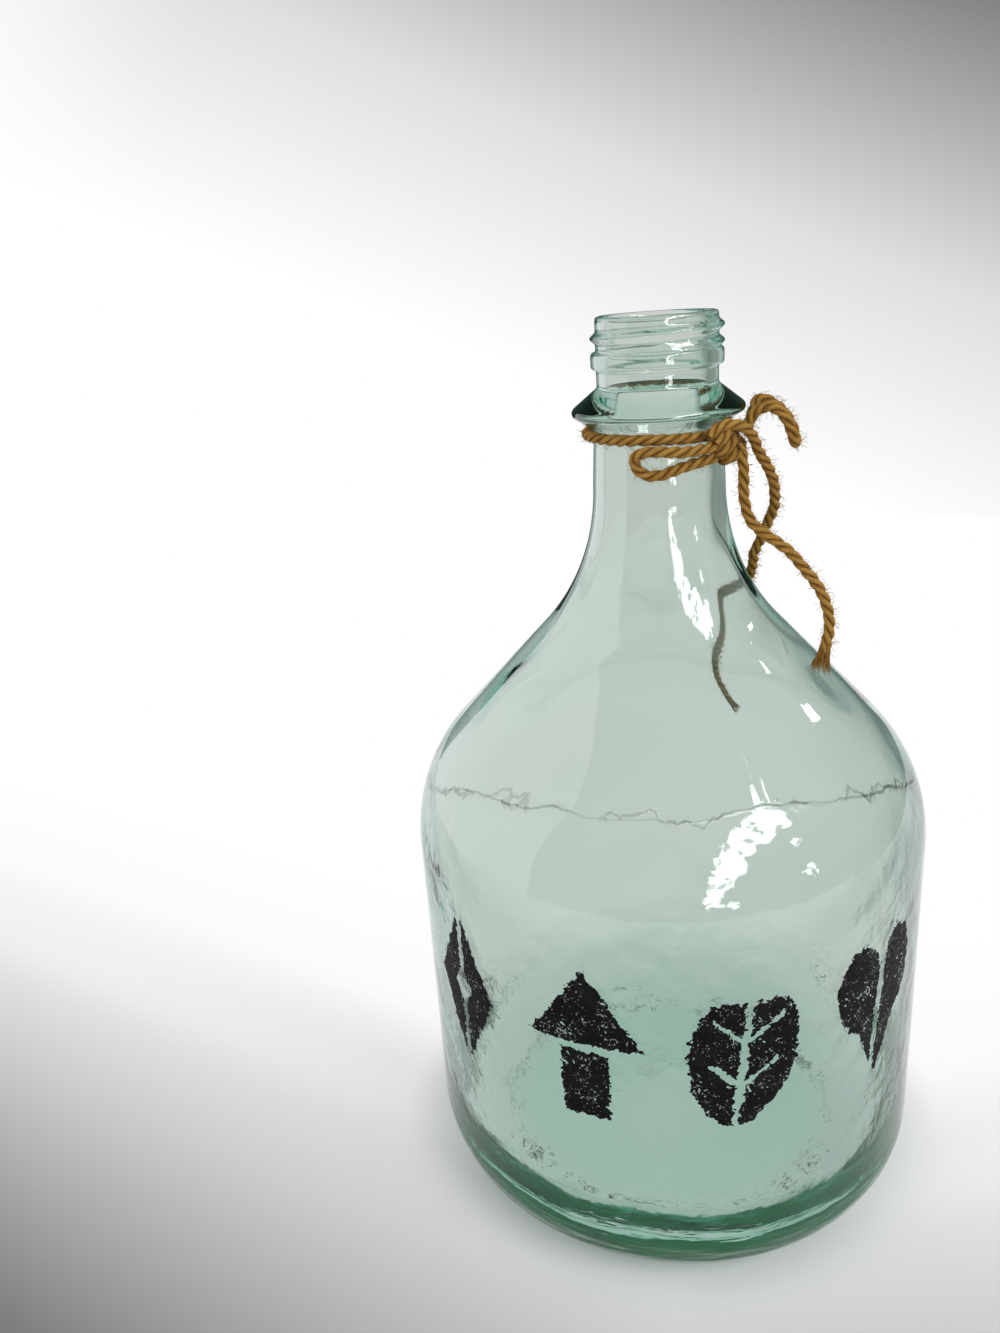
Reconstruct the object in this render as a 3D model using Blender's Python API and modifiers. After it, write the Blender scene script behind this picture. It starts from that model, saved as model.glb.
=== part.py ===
"""Glass coin bank: a one-piece pressed and blown glass jug with an open screw mouth, and a jute twine
tied round its neck in a bow. Metres, +Z up, standing on Z = 0 with the jug's axis on Z. The front,
where the stencilled marks go, faces -Y."""

import math

import bmesh
import bpy
import numpy as np
from mathutils import Vector

# The jug's overall sizes
jug_height = 0.277
jug_radius = 0.080
wall_thickness = 0.003
round_sides = 48

# The foot: a flat bearing ring, a pushed-up middle and a heel that curves up into the wall
foot_outer_radius = 0.040
foot_inner_radius = 0.036
push_up_depth = 0.003
heel_height = 0.029
heel_squareness = 2.8
heel_steps = 8
push_up_steps = 3
base_thickness = 0.007
inner_floor_radius = 0.028
inner_heel_height = 0.032

# The shoulder and the throat: two arcs joined by a cone
shoulder_radius = 0.050
throat_radius = 0.063
cone_angle = math.radians(43.3)
bend_steps = 6
neck_foot_radius = 0.0192
neck_top_radius = 0.0184
neck_length = 0.0169

# The collar: a ring like two cones set base to base, with a rounded rim
collar_rim_radius = 0.0247
collar_rim_rounding = 0.0015
collar_rim_angle = math.radians(52)
collar_rise = 0.0067
collar_drop = 0.0039
collar_fillet = 0.0012
rim_steps = 4

# The screw finish above the collar: a bore, a bead for handling and a thread of one and a half turns
finish_height = 0.0195
finish_radius = 0.0172
bore_radius = 0.0145
lip_rounding = 0.0009
lip_steps = 2
bead_radius = 0.0187
bead_height = 0.0048
bead_drop = 0.0097
bead_edge = 0.0006
thread_radius = 0.0188
thread_ridge_radius = 0.0016
thread_pitch = 0.0043
thread_drop = 0.0028
thread_turns = 1.5
thread_start = math.radians(90)
thread_points_per_turn = 24
thread_fade_share = 0.12
thread_fade_least_share = 0.25

# The twine
twine_diameter = 0.0032
touch_gap = 0.0003
wrap_drop = 0.0021
wrap_points = 48
fray_share = 1.35
tail_spacing_share = 1.5
fray_length = 0.008

# The knot: a squashed ball against the neck, a little under the wrap
knot_azimuth = -33
knot_width = 0.0130
knot_depth = 0.0078
knot_height = 0.0096
knot_drop = 0.0026
knot_half_angle = 16.5

# Heights that follow from the sizes above
twine_radius = twine_diameter / 2
finish_bottom = jug_height - finish_height
collar_rim_height = finish_bottom - collar_rise
collar_bottom = collar_rim_height - collar_drop
throat_top = collar_bottom - neck_length
bends_reach = (shoulder_radius + throat_radius) * (1 - math.cos(cone_angle))
cone_length = (jug_radius - neck_foot_radius - bends_reach) / math.sin(cone_angle)
cone_rise = cone_length * math.cos(cone_angle)
throat_bottom = throat_top - throat_radius * math.sin(cone_angle)
shoulder_top = throat_bottom - cone_rise
wall_top = shoulder_top - shoulder_radius * math.sin(cone_angle)
floor_height = push_up_depth + base_thickness
wrap_height = collar_bottom - wrap_drop


def turn(middle_radius, middle_height, radius, start, end, steps):
    """Points on an arc of a profile, as (radius from the jug's axis, height). An angle of 0 points
    away from the axis, and a quarter turn points up."""
    angles = [start + (end - start) * i / steps for i in range(steps + 1)]
    return [
        (middle_radius + radius * math.cos(a), middle_height + radius * math.sin(a)) for a in angles
    ]


def heel(flat_radius, wall_radius, bottom, height, steps):
    """A squared-off quarter curve from the flat of a floor up to a straight wall."""
    points = []
    for i in range(steps + 1):
        a = math.pi / 2 * i / steps
        outward = math.sin(a) ** (2 / heel_squareness)
        upward = 1 - math.cos(a) ** (2 / heel_squareness)
        points.append((flat_radius + (wall_radius - flat_radius) * outward, bottom + height * upward))
    return points


def shoulder_and_throat(inset):
    """From the top of the straight wall up to the neck, on a surface that lies inset inside the
    jug's outer one."""
    shoulder = turn(
        jug_radius - shoulder_radius, wall_top, shoulder_radius - inset, 0, cone_angle, bend_steps
    )
    throat = turn(
        neck_foot_radius + throat_radius,
        throat_top,
        throat_radius + inset,
        math.pi + cone_angle,
        math.pi,
        bend_steps,
    )
    return shoulder + throat


def outer_profile():
    """The outside of the jug, from the middle of the foot up to the lip."""
    push_up = [
        (foot_inner_radius * math.sin(a), push_up_depth * math.cos(a))
        for a in (math.pi / 2 * i / push_up_steps for i in range(push_up_steps + 1))
    ]
    foot = heel(foot_outer_radius, jug_radius, 0, heel_height, heel_steps)
    neck = [(neck_top_radius, collar_bottom - collar_fillet)]
    under_collar = [(neck_top_radius + collar_fillet, collar_bottom)]
    rim = turn(
        collar_rim_radius - collar_rim_rounding,
        collar_rim_height,
        collar_rim_rounding,
        -collar_rim_angle,
        collar_rim_angle,
        rim_steps,
    )
    bead_top = jug_height - bead_drop
    bead_bottom = bead_top - bead_height
    finish = [
        (finish_radius, finish_bottom),
        (finish_radius, bead_bottom),
        (bead_radius - bead_edge, bead_bottom),
        (bead_radius, bead_bottom + bead_edge),
        (bead_radius, bead_top - bead_edge),
        (bead_radius - bead_edge, bead_top),
        (finish_radius, bead_top),
    ]
    lip = turn(
        finish_radius - lip_rounding, jug_height - lip_rounding, lip_rounding, 0, math.pi / 2, lip_steps
    )
    return push_up + foot + shoulder_and_throat(0) + neck + under_collar + rim + finish + lip


def inner_profile():
    """The inside of the jug, from the middle of its floor up to the lip."""
    floor = heel(
        inner_floor_radius, jug_radius - wall_thickness, floor_height, inner_heel_height, heel_steps
    )
    lip = turn(
        bore_radius + lip_rounding,
        jug_height - lip_rounding,
        lip_rounding,
        math.pi,
        math.pi / 2,
        lip_steps,
    )
    bore_foot = [(bore_radius, finish_bottom)]
    return [(0, floor_height)] + floor + shoulder_and_throat(wall_thickness) + bore_foot + lip


def glass_radius(height):
    """The jug's outer radius at a height, without its collar and finish."""
    wall = heel(foot_outer_radius, jug_radius, 0, heel_height, heel_steps)
    points = wall + shoulder_and_throat(0) + [(neck_top_radius, collar_bottom)]
    return float(np.interp(height, [p[1] for p in points], [p[0] for p in points]))


def material(name, colour, roughness, transmission=0.0, ior=1.5):
    made = bpy.data.materials.new(name)
    made.use_nodes = True
    shader = made.node_tree.nodes["Principled BSDF"]
    shader.inputs["Base Color"].default_value = (*colour, 1)
    shader.inputs["Roughness"].default_value = roughness
    shader.inputs["Transmission Weight"].default_value = transmission
    shader.inputs["IOR"].default_value = ior
    made.diffuse_color = (*colour, 1)
    return made


def collection(name):
    made = bpy.data.collections.new(name)
    bpy.context.scene.collection.children.link(made)
    return made


def evaluated_mesh(obj):
    graph = bpy.context.evaluated_depsgraph_get()
    return bpy.data.meshes.new_from_object(obj.evaluated_get(graph))


def tube(name, points, radius, into, radii=None):
    """A round tube with closed ends along the points. radii are each point's share of the radius."""
    curve = bpy.data.curves.new(name, "CURVE")
    curve.dimensions = "3D"
    curve.bevel_depth = radius
    curve.bevel_resolution = 2
    curve.use_fill_caps = True
    line = curve.splines.new("POLY")
    line.points.add(len(points) - 1)
    for i, (place, point) in enumerate(zip(line.points, points)):
        place.co = (*point, 1)
        place.radius = radii[i] if radii else 1
    obj = bpy.data.objects.new(name, curve)
    into.objects.link(obj)
    return obj


def as_cutter(obj, into):
    """The same shape as a closed mesh, for a Boolean to use."""
    mesh = evaluated_mesh(obj)
    shape = bmesh.new()
    shape.from_mesh(mesh)
    bmesh.ops.remove_doubles(shape, verts=shape.verts, dist=touch_gap / 10)
    bmesh.ops.recalc_face_normals(shape, faces=shape.faces)
    shape.to_mesh(mesh)
    shape.free()
    made = bpy.data.objects.new(obj.name + "_shape", mesh)
    made.matrix_world = obj.matrix_world
    made.hide_render = True
    made.display_type = "WIRE"
    into.objects.link(made)
    bpy.data.objects.remove(obj)
    return made


def make_thread(cutters):
    """The glass ridge that winds down round the finish. Its ends sink into the wall."""
    steps = round(thread_turns * thread_points_per_turn)
    points = []
    radii = []
    for i in range(steps + 1):
        share = i / steps
        end = min(share, 1 - share) / thread_fade_share
        full = min(1, thread_fade_least_share + (1 - thread_fade_least_share) * end)
        a = thread_start - math.tau * thread_turns * share
        out = thread_radius - thread_ridge_radius
        height = jug_height - thread_drop - thread_pitch * thread_turns * share
        points.append((out * math.cos(a), out * math.sin(a), height))
        radii.append(full)
    return as_cutter(tube("thread_ridge", points, thread_ridge_radius, cutters, radii), cutters)


def make_jug(parts, cutters):
    inside = inner_profile()
    outside = outer_profile()
    profile = inside + outside[::-1]
    mesh = bpy.data.meshes.new("glass_jug")
    mesh.from_pydata([(r, 0, z) for r, z in profile], [(i, i + 1) for i in range(len(profile) - 1)], [])
    jug = bpy.data.objects.new("glass_jug", mesh)
    parts.objects.link(jug)
    turned = jug.modifiers.new("Turned", "SCREW")
    turned.axis = "Z"
    turned.steps = round_sides
    turned.render_steps = round_sides
    turned.use_merge_vertices = True
    turned.merge_threshold = touch_gap / 30
    turned.use_smooth_shade = True
    thread = jug.modifiers.new("Thread", "BOOLEAN")
    thread.operation = "UNION"
    thread.solver = "EXACT"
    thread.object = make_thread(cutters)
    mesh.materials.append(material("moulded_glass", (0.55, 0.72, 0.66), 0.05, 0.9, 1.52))
    return jug


def on_neck(azimuth, height, off_glass):
    """A point of the twine, from the middle of its wrap: an azimuth in degrees, a height above the
    wrap, and how far the twine's centre line stands off the glass there."""
    out = glass_radius(wrap_height + height) + off_glass
    a = math.radians(azimuth)
    return Vector((out * math.cos(a), out * math.sin(a), height))


def smooth_path(route, spacing):
    """Evenly spaced points on a Catmull-Rom curve through the route's points."""
    knots = [Vector(p) for p in route]
    knots = [2 * knots[0] - knots[1]] + knots + [2 * knots[-1] - knots[-2]]
    fine = []
    pieces = 24
    for a, b, c, d in zip(knots, knots[1:], knots[2:], knots[3:]):
        for i in range(pieces):
            t = i / pieces
            fine.append(
                (b * 2 + (c - a) * t + (a * 2 - b * 5 + c * 4 - d) * t**2 + (b * 3 - a - c * 3 + d) * t**3)
                / 2
            )
    fine.append(knots[-2])
    gone = np.concatenate([[0], np.cumsum([(q - p).length for p, q in zip(fine, fine[1:])])])
    count = max(2, round(gone[-1] / spacing))
    wanted = np.linspace(0, gone[-1], count + 1)
    places = np.array([tuple(p) for p in fine])
    return np.column_stack([np.interp(wanted, gone, places[:, i]) for i in range(3)])


# The twine's free stretches, each point as (azimuth in degrees, height above the wrap, centre line
# off the glass)
bow_loop_front_route = [
    (-50.5, -0.0026, 0.0048),
    (-61, -0.0031, 0.0048),
    (-74, -0.0032, 0.0048),
    (-87, -0.0028, 0.0048),
    (-98, -0.0026, 0.0047),
    (-105, -0.0038, 0.0043),
    (-107, -0.0058, 0.0036),
    (-104, -0.0080, 0.0028),
    (-97, -0.0094, 0.0024),
    (-87, -0.0092, 0.0023),
    (-74, -0.0078, 0.0023),
    (-63, -0.0070, 0.0025),
    (-49, -0.0062, 0.0032),
]
bow_loop_side_route = [
    (-20, 0.0005, 0.0072),
    (-19, 0.0026, 0.0081),
    (-18, 0.0047, 0.0096),
    (-17, 0.0060, 0.0119),
    (-17, 0.0056, 0.0150),
    (-17, 0.0030, 0.0176),
    (-16, -0.0004, 0.0192),
    (-14, -0.0033, 0.0197),
    (-10.5, -0.0043, 0.0198),
    (-7, -0.0032, 0.0195),
    (-5, -0.0008, 0.0190),
    (-4, 0.0024, 0.0174),
    (-4, 0.0053, 0.0148),
    (-4, 0.0072, 0.0116),
    (-4, 0.0070, 0.0092),
    (-6, 0.0040, 0.0080),
    (-11.3, 0.0004, 0.0070),
]
tail_long_route = [
    (-30, -0.0071, 0.0076),
    (-30, -0.0116, 0.0079),
    (-29, -0.0176, 0.0076),
    (-28, -0.0235, 0.0084),
    (-27, -0.0275, 0.0112),
    (-26, -0.0318, 0.0168),
    (-26, -0.0371, 0.0206),
    (-25, -0.0440, 0.0224),
    (-25, -0.0520, 0.0200),
    (-25, -0.0602, 0.0120),
    (-25, -0.0674, 0.0037),
]
tail_back_route = [
    (-55, 0.0010, 0.0060),
    (-49, 0.0023, 0.0062),
    (-43, 0.0030, 0.0074),
    (-37, 0.0023, 0.0088),
    (-32, 0.0008, 0.0100),
    (-26, -0.0020, 0.0104),
    (-20, -0.0063, 0.0109),
    (-15, -0.0101, 0.0121),
    (-10, -0.0143, 0.0133),
    (-6, -0.0184, 0.0137),
    (-1, -0.0240, 0.0131),
    (4, -0.0290, 0.0108),
    (10, -0.0348, 0.0077),
    (15, -0.0395, 0.0050),
    (22, -0.0455, 0.0030),
    (36, -0.0508, 0.0028),
    (50, -0.0558, 0.0028),
    (60, -0.0638, 0.0028),
    (65, -0.0720, 0.0028),
    (69, -0.0818, 0.0028),
    (71.5, -0.0915, 0.0028),
    (72, -0.0990, 0.0027),
    (71, -0.1045, 0.0026),
    (68, -0.1118, 0.0026),
    (65, -0.1160, 0.0030),
]


def least_gap(points, diameter):
    """The least space between a looped tube and itself, past the stretch next to each point."""
    away = np.linalg.norm(points[:, None] - points[None], axis=2)
    gone = np.append(0, np.cumsum(np.linalg.norm(np.diff(points, axis=0), axis=1)))
    along = np.abs(gone[:, None] - gone[None])
    return away[along > math.pi * diameter].min() - diameter


def strand(name, route, spacing, parts, look, turning, frayed=False):
    points = smooth_path([on_neck(*row) for row in route], spacing)
    if name.startswith("bow_loop"):
        print(f"{name}: least gap to itself {least_gap(points, twine_diameter):.5f} m")
    radii = [1.0] * len(points)
    if frayed:
        steps = np.linalg.norm(np.diff(points, axis=0), axis=1)
        to_end = np.append(np.cumsum(steps[::-1])[::-1], 0)
        radii = [1 + (fray_share - 1) * max(0, 1 - d / fray_length) for d in to_end]
    obj = tube(name, points, twine_radius, parts, radii)
    obj.data.materials.append(look)
    obj.parent = turning
    return obj


def make_wrap(parts, look, turning):
    """The one turn round the neck, from one side of the knot to the other."""
    start = math.radians(knot_azimuth + knot_half_angle)
    sweep = math.tau - 2 * math.radians(knot_half_angle)
    out = glass_radius(wrap_height) + touch_gap + twine_radius
    angles = [start + sweep * i / wrap_points for i in range(wrap_points + 1)]
    points = [(out * math.cos(a), out * math.sin(a), 0) for a in angles]
    wrap = tube("twine_neck_wrap", points, twine_radius, parts)
    wrap.data.materials.append(look)
    wrap.parent = turning
    return wrap


def make_knot(parts, look, turning):
    bpy.ops.mesh.primitive_uv_sphere_add(segments=20, ring_count=12, radius=1)
    knot = bpy.context.object
    knot.name = "bow_knot"
    for holder in list(knot.users_collection):
        holder.objects.unlink(knot)
    parts.objects.link(knot)
    for v in knot.data.vertices:
        v.co = (v.co.x * knot_depth / 2, v.co.y * knot_width / 2, v.co.z * knot_height / 2)
    off_glass = touch_gap + knot_depth / 2
    knot.location = on_neck(knot_azimuth, -knot_drop, off_glass)
    knot.rotation_euler = (0, 0, math.radians(knot_azimuth))
    knot.data.shade_smooth()
    knot.data.materials.append(look)
    knot.parent = turning
    return knot


def make_twine(parts):
    """Every stretch of the twine turns together round the neck."""
    turning = bpy.data.objects.new("twine_turn", None)
    turning.location = (0, 0, wrap_height)
    parts.objects.link(turning)
    look = material("jute_twine", (0.42, 0.26, 0.10), 0.9)
    make_wrap(parts, look, turning)
    make_knot(parts, look, turning)
    strand("bow_loop_front", bow_loop_front_route, twine_diameter, parts, look, turning)
    strand("bow_loop_side", bow_loop_side_route, twine_diameter, parts, look, turning)
    strand("tail_long", tail_long_route, tail_spacing_share * twine_diameter, parts, look, turning, frayed=True)
    strand("tail_back", tail_back_route, tail_spacing_share * twine_diameter, parts, look, turning, frayed=True)


def main():
    for obj in list(bpy.data.objects):
        bpy.data.objects.remove(obj)
    parts = collection("coin_bank_jug")
    cutters = collection("cutters")
    make_jug(parts, cutters)
    make_twine(parts)


main()
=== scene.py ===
"""Looks for the glass coin bank jug: pale green glass, stencilled figures and jute twine, dressed on
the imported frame. Metres, +Z up, the jug's axis on Z and its painted front towards -Y."""

import functools
import math

import bmesh
import bpy
import numpy as np
from mathutils import Matrix, Vector


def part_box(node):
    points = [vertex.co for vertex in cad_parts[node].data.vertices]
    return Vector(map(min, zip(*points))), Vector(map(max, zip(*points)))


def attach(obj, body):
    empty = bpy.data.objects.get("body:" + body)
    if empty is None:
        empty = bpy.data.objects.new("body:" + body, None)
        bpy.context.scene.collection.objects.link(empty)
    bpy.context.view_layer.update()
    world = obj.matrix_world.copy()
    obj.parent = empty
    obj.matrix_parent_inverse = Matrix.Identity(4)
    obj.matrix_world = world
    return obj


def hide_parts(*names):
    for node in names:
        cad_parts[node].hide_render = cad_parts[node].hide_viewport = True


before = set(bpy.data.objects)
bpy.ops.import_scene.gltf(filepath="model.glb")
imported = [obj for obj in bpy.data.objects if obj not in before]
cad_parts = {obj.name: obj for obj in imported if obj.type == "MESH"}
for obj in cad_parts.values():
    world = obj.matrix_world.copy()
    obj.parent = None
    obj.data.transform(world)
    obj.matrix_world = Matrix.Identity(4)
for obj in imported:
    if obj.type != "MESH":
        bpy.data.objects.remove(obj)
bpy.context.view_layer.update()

bl_info = {
    "name": "Glass Coin Bank Jug",
    "version": (1, 0, 0),
    "blender": (4, 5, 0),
    "location": "View3D > Sidebar > Coin Bank",
    "description": "Makes the glass jug, its stencilled figures, its twine bow and its stage",
    "category": "Object",
}


def linear(code):
    """A colour's linear red, green and blue from its sRGB hex code."""
    shares = [int(code[i : i + 2], 16) / 255 for i in (1, 3, 5)]
    return tuple(s / 12.92 if s <= 0.04045 else ((s + 0.055) / 1.055) ** 2.4 for s in shares)


# The jug's own sizes, as the solids have them
jug_radius, _, jug_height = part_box("glass_jug")[1]
wall_thickness = 0.003
foot_outer_radius = 0.040
foot_inner_radius = 0.036
push_up_depth = 0.003
heel_height = 0.029
heel_squareness = 2.8
base_thickness = 0.007
inner_floor_radius = 0.028
inner_heel_height = 0.032
shoulder_radius = 0.050
throat_radius = 0.063
cone_angle = math.radians(43.3)
neck_foot_radius = 0.0192
neck_top_radius = 0.0184
neck_length = 0.0169
collar_rim_radius = 0.0247
collar_rim_rounding = 0.0015
collar_rim_angle = math.radians(52)
collar_rise = 0.0067
collar_drop = 0.0039
collar_fillet = 0.0012
finish_height = 0.0195
finish_radius = 0.0172
bore_radius = 0.0145
lip_rounding = 0.0009
bead_radius = 0.0187
bead_height = 0.0048
bead_drop = 0.0097
bead_edge = 0.0006
thread_ridge = 0.0016
thread_half_width = 0.0019
thread_pitch = 0.0043
thread_drop = 0.0028
thread_turns = 1.5
thread_run_out = 0.12  # of its length, at each end
finish_bottom = jug_height - finish_height
collar_rim_height = finish_bottom - collar_rise
collar_bottom = collar_rim_height - collar_drop
throat_top = collar_bottom - neck_length
bends_reach = (shoulder_radius + throat_radius) * (1 - math.cos(cone_angle))
cone_length = (jug_radius - neck_foot_radius - bends_reach) / math.sin(cone_angle)
throat_bottom = throat_top - throat_radius * math.sin(cone_angle)
shoulder_top = throat_bottom - cone_length * math.cos(cone_angle)
wall_top = shoulder_top - shoulder_radius * math.sin(cone_angle)
floor_height = push_up_depth + base_thickness

# The marks of its making
settle_line_height = 0.1544
settle_sag = 470  # how fast the line sinks to the sides, by the fourth power of x
profile_step = 0.0001
corner_blur = 4  # in profile steps
calm_height = 0.236  # from here up the moulded faces are true
fold_height = 0.0155
fold_spacing = 0.006
fold_depth = 0.0005
ripple_depth = 0.00009
stipple_radius = 0.0565
stipple_half_width = 0.0022
thick_share = 0.18

# The twine's own sizes, with azimuths in degrees from +X
touch_gap = 0.0003
wrap_height = collar_bottom - 0.0021
wrap_radius = 0.0016
knot_azimuth = -33
knot_width = 0.0130
knot_depth = 0.0078
knot_height = 0.0096
knot_drop = 0.0026
knot_half_angle = 16.5
knot_turns = 2.6
knot_start = -1.1  # radians round the knot
knot_lean = math.radians(-42)

# The figures' sizes, in millimetres
half_tall = 24
half_bridge = 1.2


def colour_setting(name, description, default):
    return bpy.props.FloatVectorProperty(
        name=name, description=description, default=default, subtype="COLOR", size=3, min=0, max=1
    )


def number_setting(name, description, default, **limits):
    return bpy.props.FloatProperty(name=name, description=description, default=default, **limits)


def length_setting(name, description, default, least=0):
    return number_setting(name, description, default, min=least, unit="LENGTH", subtype="DISTANCE")


class GlassSettings(bpy.types.PropertyGroup):
    tint: colour_setting("Glass Tint", "Colour that thick glass takes on", (0.167, 0.700, 0.550))
    tint_density: number_setting("Tint Density", "How fast the tint deepens, per metre of glass", 30, min=0)
    thick_tint: colour_setting("Thick Tint", "Colour that the thick floor leans to", (0.10, 0.85, 0.60))
    deep_tint: colour_setting(
        "Deep Tint", "Colour of the heel and the collar when seen aslant", (0.012, 0.62, 0.36)
    )
    # Painted shade, partly: the dark that the wall refracts where it is seen edgeways
    edge_shade_tint: colour_setting("Edge Tint", "Colour of the wall seen edgeways", (0.16, 0.34, 0.30))
    inner_wave: length_setting(
        "Inner Wave", "How far the blown inner face wanders from its even shape", 0.00035
    )
    outer_wave: length_setting(
        "Outer Wave", "How far the moulded outer face sinks below its even shape", 0.00012
    )
    segments: bpy.props.IntProperty(
        name="Segments", description="Faces round the jug", min=48, max=216, default=192
    )


class MarkSettings(bpy.types.PropertyGroup):
    bottom: length_setting("Bottom", "Height of the figures' lower edge", 0.066)
    height: length_setting("Height", "Height of a figure", 0.048)
    cell: length_setting("Cell", "Grid on which the paint's edge is found", 0.0004, 0.0002)
    paint: colour_setting("Paint", "Colour of the stencil paint", linear("#070708"))


class TwineSettings(bpy.types.PropertyGroup):
    diameter: length_setting("Diameter", "Thickness of the twine", 0.0032)
    plies: bpy.props.IntProperty(name="Plies", description="Yarns laid together", min=2, max=4, default=3)
    lay: length_setting("Lay", "Length in which a ply goes once round", 0.0105)
    fuzz_length: length_setting("Fuzz Length", "Length of a loose hair", 0.0017)
    fuzz_density: number_setting("Fuzz Density", "Loose hairs on a square metre of ply", 800000, min=0)
    # The groove colour is painted shade between the plies, with some dirt
    groove: colour_setting("Groove", "Colour between the plies", linear("#2c1a05"))
    fibre: colour_setting("Fibre", "Usual colour of the fibres", linear("#74501a"))
    crest: colour_setting("Crest", "Colour of the palest fibres", linear("#a67f3c"))


class StageSettings(bpy.types.PropertyGroup):
    floor_radius: length_setting("Floor Radius", "Size of the floor", 1)
    key_power: number_setting("Key Power", "Soft lamp from the right front", 10.5, unit="POWER")
    seen_through: colour_setting(
        "Seen Through", "Colour of the backdrop through the glass", linear("#dad5d4")
    )
    dim_room: colour_setting("Dim Room", "Colour of the room that the glass mirrors", linear("#40564b"))
    room: number_setting("Room Light", "Even light from all round", 0.72)
    card: number_setting("Card Light", "Window that the glass mirrors", 14)
    pale_wall: number_setting("Pale Wall", "Bright wall on the left that the glass mirrors", 1.3)


def connect(target, *inputs):
    """Sets or links a node's open sockets: by values and other nodes in order, then by a dict of
    them under the sockets' names. None leaves a socket as it is."""
    sockets = [socket for socket in target.inputs if socket.enabled]
    named = {socket.name: socket for socket in sockets}
    pairs = []
    for value in inputs:
        if isinstance(value, dict):
            pairs += [(named[name], given) for name, given in value.items()]
        else:
            pairs.append((sockets[len(pairs)], value))
    for socket, value in pairs:
        if isinstance(value, bpy.types.Node):
            value = next(output for output in value.outputs if output.enabled)
        if isinstance(value, bpy.types.NodeSocket):
            target.id_data.links.new(value, socket)
        elif value is not None:
            opaque = socket.type == "RGBA" and len(value) == 3
            socket.default_value = (*value, 1) if opaque else value


def add(tree, kind, *inputs, **settings):
    """Adds a node of a kind, which is written without its prefix and with its operation after a
    space. settings are its own properties, and inputs go to its sockets."""
    kind, _, operation = kind.partition(" ")
    if operation:
        settings["operation"] = operation
    kinds = [start + kind for start in ("ShaderNode", "GeometryNode", "FunctionNode", "")]
    made = tree.nodes.new(next(kind for kind in kinds if hasattr(bpy.types, kind)))
    for key, value in settings.items():
        setattr(made, key, value)
    connect(made, *inputs)
    return made


# For a Map Range node that eases in and out
smoothly = {"interpolation_type": "SMOOTHSTEP"}


def stops(ramp, shades):
    """Sets a colour ramp's stops, as (position, grey or colour)."""
    elements = ramp.color_ramp.elements
    while len(elements) < len(shades):
        elements.new(0.5)
    for stop, (position, shade) in zip(elements, shades):
        stop.position = position
        stop.color = (*np.broadcast_to(shade, 3), 1)


def mesh_of(name, points, faces, edges=()):
    mesh = bpy.data.meshes.new(name)
    mesh.from_pydata(points, edges, faces)
    mesh.update()
    return mesh


def in_scene(name, data):
    obj = bpy.data.objects.new(name, data)
    bpy.context.scene.collection.objects.link(obj)
    return obj


def put(name, mesh, look, body, slot, *nodes):
    """An object in the scene that rides on a body and stands for the solids named."""
    obj = in_scene(name, mesh)
    mesh.materials.clear()
    mesh.materials.append(look)
    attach(obj, body)
    if nodes:
        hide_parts(*nodes)
    return obj


# ---- The jug's profile


def arc(middle_radius, middle_height, radius, start, end, steps=60):
    angles = np.linspace(start, end, steps + 1)
    return [(middle_radius + radius * math.cos(a), middle_height + radius * math.sin(a)) for a in angles]


def heel(flat_radius, wall_radius, bottom, height, steps=160):
    """A squared-off quarter curve from the flat of a floor up to a straight wall."""
    points = []
    for a in np.linspace(0, math.pi / 2, steps + 1):
        outward = math.sin(a) ** (2 / heel_squareness)
        upward = 1 - abs(math.cos(a)) ** (2 / heel_squareness)
        points.append((flat_radius + (wall_radius - flat_radius) * outward, bottom + height * upward))
    return points


def shoulder_and_throat(inset):
    shoulder = arc(jug_radius - shoulder_radius, wall_top, shoulder_radius - inset, 0, cone_angle)
    middle, radius = neck_foot_radius + throat_radius, throat_radius + inset
    return shoulder + arc(middle, throat_top, radius, math.pi + cone_angle, math.pi)


def outer_profile():
    """The outside, from the middle of the foot up to the lip."""
    push_up = [
        (foot_inner_radius * share, push_up_depth * (1 + math.cos(math.pi * share)) / 2)
        for share in np.linspace(0, 1, 40)
    ]
    foot = heel(foot_outer_radius, jug_radius, 0, heel_height)
    neck = [
        (neck_top_radius, collar_bottom - collar_fillet),
        (neck_top_radius + collar_fillet, collar_bottom),
    ]
    middle, rounding = collar_rim_radius - collar_rim_rounding, collar_rim_rounding
    rim = arc(middle, collar_rim_height, rounding, -collar_rim_angle, collar_rim_angle)
    bead_top = jug_height - bead_drop
    bead_bottom = bead_top - bead_height
    finish = [
        (finish_radius, finish_bottom),
        (finish_radius, bead_bottom),
        (bead_radius - bead_edge, bead_bottom),
        (bead_radius, bead_bottom + bead_edge),
        (bead_radius, bead_top - bead_edge),
        (bead_radius - bead_edge, bead_top),
        (finish_radius, bead_top),
    ]
    lip = arc(finish_radius - lip_rounding, jug_height - lip_rounding, lip_rounding, 0, math.pi / 2)
    return push_up + foot + shoulder_and_throat(0) + neck + rim + finish + lip


def inner_profile():
    """The inside, from the lip down to the middle of the floor."""
    floor = heel(inner_floor_radius, jug_radius - wall_thickness, floor_height, inner_heel_height)
    lip = arc(bore_radius + lip_rounding, jug_height - lip_rounding, lip_rounding, math.pi, math.pi / 2)
    inside = [(0, floor_height)] + floor + shoulder_and_throat(wall_thickness)
    return (inside + [(bore_radius, finish_bottom)] + lip)[::-1]


def run_along(points):
    """How far along a line each of its points lies."""
    return np.append(0, np.cumsum(np.linalg.norm(np.diff(points, axis=0), axis=1)))


def evenly(points, step):
    """The same line with its points a step apart."""
    points = np.array(points, float)
    gone = run_along(points)
    wanted = np.linspace(0, gone[-1], max(2, round(gone[-1] / step)) + 1)
    return np.column_stack([np.interp(wanted, gone, points[:, i]) for i in range(points.shape[1])])


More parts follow.
